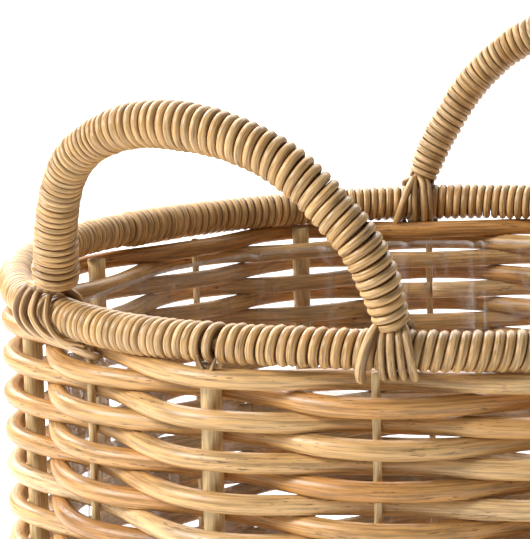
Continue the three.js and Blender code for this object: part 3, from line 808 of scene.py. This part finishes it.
PER_BAY = 12
for si, strand_name in enumerate("ab"):
    route = strand_points(strand_name)
    at, pole = 0, 1
    while at < len(route) - 1:
        to = min(at + POLE_STEPS, len(route) - 1)
        if len(route) - 1 - to < 12:
            to = len(route) - 1
        seg = route[at:to + 1]
        seed = 900 + si * 50 + pole
        t = np.linspace(0, len(seg) - 1, (len(seg) - 1) * PER_BAY + 1)
        k = np.minimum(np.floor(t).astype(int), len(seg) - 2)
        f = t - k
        ease = 0.5 - 0.5 * np.cos(np.pi * f)
        # a little flatter over the stakes than a plain wave
        ease = ease * 0.86 + (f * f * f * (f * (6 * f - 15) + 10)) * 0.14
        b = seg[k, 0] * (1 - f) + seg[k + 1, 0] * f
        off = seg[k, 1] * (1 - ease) + seg[k + 1, 1] * ease
        soft = f * f * (3 - 2 * f)
        z = seg[k, 2] * (1 - soft) + seg[k + 1, 2] * soft
        z = z + row_shift(b, z) + 0.35 * noise1(b / 14.0, seed) + 0.18 * noise1(b / 5.0, seed + 1)
        P = polar(b, wall(z) + off + 0.15 * noise1(b / 9.0, seed + 2), z)
        s = arc_len(P)
        n_knots = np.cumsum(np.random.default_rng(seed).uniform(230, 420, 14))
        n_knots = [float(x) for x in n_knots if x < s[-1] - 25]
        rad = POLE_R * (1 + 0.018 * noise1(s / 55.0, seed + 3) - 0.012)
        tone = ROW_TONE[(pole * 2 + si * 7) % 64] * 0.62 + 0.17 + 0.30 * noise1(s / 230.0, seed + 4) + 0.16 * noise1(s / 1150.0 + 0.37 * pole, seed + 6)
        # two poles meet end to end inside the weave
        if at > 0:
            P[0] = P[0] + (P[1] - P[0]) * 0.4 / np.linalg.norm(P[1] - P[0])
        if to < len(route) - 1:
            P[-1] = P[-1] + (P[-2] - P[-1]) * 0.4 / np.linalg.norm(P[-2] - P[-1])
        body = cane(P, rad, sides=12, hint=polar(b, 1.0, 0), tone=np.clip(tone, 0, 1), s0=100 + si * 40 + pole * 4.1, knots_at=n_knots, bevel=0.5)
        piece(f"weaver_{strand_name}{pole}_pole", [body], mat_weave, "basket", [f"weaver_{strand_name}{pole}"])
        at = to
        pole += 1

# ---------------------------------------------------------------- base: hoop, battens and slats
body = cane(np.vstack([polar(np.linspace(0.1, 359.95, 260), wall(0.0), FOOT_R)]), FOOT_R, sides=18,
            hint=polar(np.linspace(0.1, 359.95, 260), 1.0, 0), tone=0.45, s0=77.0, bevel=1.0)
piece("foot_hoop_pole", [body], mat_weave, "basket", ["foot_hoop"])
for name in [f"base_batten_{k}" for k in (1, 2)] + [f"base_slat_{k}" for k in range(1, 12)]:
    lo, hi = (np.array(v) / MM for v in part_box(name))
    mid = (lo + hi) / 2
    axis = 0 if "slat" in name else 1
    a, b = mid.copy(), mid.copy()
    a[axis], b[axis] = lo[axis], hi[axis]
    n = 30
    t = np.linspace(0, 1, n)[:, None]
    P = a * (1 - t) + b * t
    seed = 400 + int(name.split("_")[-1]) + (50 if "slat" in name else 0)
    wave = noise1(t[:, 0] * (b[axis] - a[axis]) / 70.0, seed) * 0.12
    P[:, 2] += np.minimum(wave, 0.0)
    body = cane(P, SLAT_R - 0.05 + 0.05 * noise1(t[:, 0] * 9, seed + 1), sides=14, hint=(0, 0, 1), tone=0.5 + 0.3 * knots(6)[seed % 60], s0=seed * 0.9,
                knots_at=((b[axis] - a[axis]) * 0.37,), bevel=0.6)
    piece(f"{name}_pole", [body], mat_stake, "basket", [name])


# ---------------------------------------------------------------- the film liner
def film_wall(z):
    return wall(z) - THICK_R - 2 * POLE_R - 0.55


FILM_FOOT, FILM_TOP = 21.9, RIM_Z - 22.3
nu, nv = 640, 48
# bearings where the loose film is gathered into a standing fold, and how wide the fold is in degrees
PLEATS = [(159.3, 1.5), (184.4, 1.3), (186.4, 1.1), (146.0, 1.6), (173.0, 1.4), (197.0, 1.6), (99.0, 3.0), (60.0, 2.5), (20.0, 2.5), (338.0, 2.5), (300.0, 3.0), (262.0, 2.6), (222.0, 2.8)]
u = np.linspace(0, 360, nu, endpoint=False)
v = np.linspace(0, 1, nv)
rows = []
ripple = 0.9 * noise1(u / 360 * 36, 21, 36) + 0.5 * noise1(u / 360 * 95, 22, 95)
bend = np.zeros(nu)
for c, w in PLEATS:
    d = (u - c + 180) % 360 - 180
    bend = np.maximum(bend, np.exp(-(d / (w * 0.45)) ** 2))
for t in v:
    z = FILM_FOOT + 9 + (FILM_TOP - FILM_FOOT - 9) * t
    deep = 0.35 + 0.65 * t
    crease = noise1(u / 360 * 60 + 4.0 * t, 23, 60) * noise1(np.full(nu, t * 9.0), 24) * 1.4
    inset = 1.6 + ripple * deep + 4.6 * bend * deep + np.abs(crease) * 1.2 + 0.8 * noise1(u / 360 * 48 + 9 * t, 25, 48)
    inset = np.maximum(inset, 0.0)
    higher = 4.2 * np.clip((np.sin(np.radians(u - 90)) - 0.35) / 0.5, 0, 1)
    zz = z + (0.6 * noise1(u / 360 * 17, 26, 17) + 0.2 * noise1(u / 360 * 51, 27, 51) + higher) * (t ** 3) - 0.6 * bend * t ** 4
    rows.append(polar(u, film_wall(z) - inset, zz))
wall_rows = np.array(rows)
corner = []
for k, (dr, dz) in enumerate(((9.2, 0.0), (4.2, 1.5), (1.2, 4.6))):
    corner.append(polar(u, film_wall(FILM_FOOT) - 1.0 - dr - 0.6 * np.abs(noise1(u / 360 * 70, 28 + k, 70)), FILM_FOOT + dz + 0.0 * u))
disc = []
rr = np.linspace(0.06, 0.945, 22)
for q in rr:
    zz = FILM_FOOT + 0.05 + 0.35 * (1 + noise1(u / 360 * 28 + q * 3, 31, 28)) * np.sin(np.pi * q)
    disc.append(polar(u, (film_wall(FILM_FOOT) - 1.0) * q, zz))
grid = np.concatenate([np.array(disc), np.array(corner), wall_rows])
nr = len(grid)
V = np.vstack([[[0, 0, FILM_FOOT + 0.1]], grid.reshape(-1, 3)]) * MM
faces = [[0, 1 + k, 1 + (k + 1) % nu] for k in range(nu)]
for r in range(nr - 1):
    a, b = 1 + r * nu, 1 + (r + 1) * nu
    faces += [[a + k, b + k, b + (k + 1) % nu, a + (k + 1) % nu] for k in range(nu)]
me = bpy.data.meshes.new("film_bag")
me.from_pydata(V.tolist(), [], faces)
me.polygons.foreach_set("use_smooth", np.ones(len(me.polygons), bool))
# share of height up the film wall, which places the hem band and its painted highlight
hem_and_highlight = np.zeros(len(V))
hem_and_highlight[1 + (nr - nv) * nu:] = np.repeat(v, nu)
me.attributes.new("hem_and_highlight", "FLOAT", "POINT").data.foreach_set("value", hem_and_highlight.astype(np.float32))
# fold weight per vertex, which places the folds' extra layers and their painted sheen in the film material
fold_and_sheen = np.zeros(len(V))
fold_and_sheen[1 + (nr - nv) * nu:] = (bend[None, :] * np.clip(0.55 + 0.6 * noise1(v * 7.0, 33)[:, None], 0, 1)).ravel()
me.attributes.new("fold_and_sheen", "FLOAT", "POINT").data.foreach_set("value", fold_and_sheen.astype(np.float32))
me.update()
film = bpy.data.objects.new("film_bag", me)
scene.collection.objects.link(film)
film.data.materials.append(film_material())
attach(film, "liner")
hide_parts("film_liner")

# ---------------------------------------------------------------- floor, light and camera
me = bpy.data.meshes.new("studio_floor")
me.from_pydata([(-40, -40, 0), (40, -40, 0), (40, 40, 0), (-40, 40, 0)], [], [(0, 1, 2, 3)])
floor = bpy.data.objects.new("studio_floor", me)
scene.collection.objects.link(floor)
nf = Nodes("studio_floor")
tcf = nf.new("ShaderNodeTexCoord").outputs["Object"]
bf = nf.new("ShaderNodeBsdfPrincipled")
nf.link(nf.ramp(nf.noise(nf.vec(tcf, (30, 30, 30)), detail=2.0), [(0.3, (0.93, 0.93, 0.925)), (0.7, (0.95, 0.95, 0.945))]), bf.inputs["Base Color"])
bf.inputs["Roughness"].default_value = 0.9
bf.inputs["Specular IOR Level"].default_value = 0.1
nf.link(bf.outputs[0], nf.out.inputs["Surface"])
floor.data.materials.append(nf.m)

world = bpy.data.worlds.new("studio")
scene.world = world
world.use_nodes = True
bg = world.node_tree.nodes["Background"]
bg.inputs["Color"].default_value = (1.0, 1.0, 1.0, 1)
bg.inputs["Strength"].default_value = 0.24


def lamp(name, place, target, size, power, colour=(1, 1, 1), size_y=None):
    d = bpy.data.lights.new(name, "AREA")
    d.shape = "RECTANGLE"
    d.size = size
    d.size_y = size_y or size
    d.energy = power
    d.color = colour
    o = bpy.data.objects.new(name, d)
    scene.collection.objects.link(o)
    o.location = place
    o.rotation_mode = "QUATERNION"
    o.rotation_quaternion = (Vector(target) - Vector(place)).to_track_quat("-Z", "Y")
    return o


lamp("key", (-2.3, -0.75, 1.7), (0, 0, 0.25), 0.9, 92, (1.0, 0.99, 0.985))
lamp("top", (-0.3, 0.2, 2.6), (0, 0, 0.3), 1.2, 14)
lamp("back_left", (-1.5, 1.7, 1.75), (0.05, 0.1, 0.35), 1.1, 62, (1.0, 0.99, 0.985))
lamp("background_light", (0.6, 6.9, 5.0), (0.6, 7.4, 0), 8.0, 1250, size_y=8.0)

# camera: the direction and distance that the rim's ellipse gives, in units of the rim's radius
f_px, D, H, yaw, pitch, roll = 2712.0, 6.2311, 1.0707, -0.0684, 0.1704, -0.0238
cy, sy, cp, sp = math.cos(yaw), math.sin(yaw), math.cos(pitch), math.sin(pitch)
fwd = Vector((sy * cp, cy * cp, -sp))
rgt = Vector((cy, -sy, 0))
upv = rgt.cross(fwd)
cr, sr = math.cos(roll), math.sin(roll)
r2, u2 = rgt * cr + upv * sr, -rgt * sr + upv * cr
cam_data = bpy.data.cameras.new("camera")
cam = bpy.data.objects.new("camera", cam_data)
scene.collection.objects.link(cam)
cam_data.sensor_width = 36.0
cam_data.sensor_fit = "AUTO"
cam_data.lens = f_px * 36.0 / 539.0
cam_data.clip_start, cam_data.clip_end = 0.05, 100.0
cam_data.dof.use_dof = False
place = Vector((0, -D, H)) * RIM_R * MM + Vector((0, 0, RIM_Z * MM))
cam.matrix_world = Matrix(((r2.x, u2.x, -fwd.x, place.x), (r2.y, u2.y, -fwd.y, place.y), (r2.z, u2.z, -fwd.z, place.z), (0, 0, 0, 1)))
scene.camera = cam
scene.view_settings.view_transform = "Standard"
scene.view_settings.look = "None"
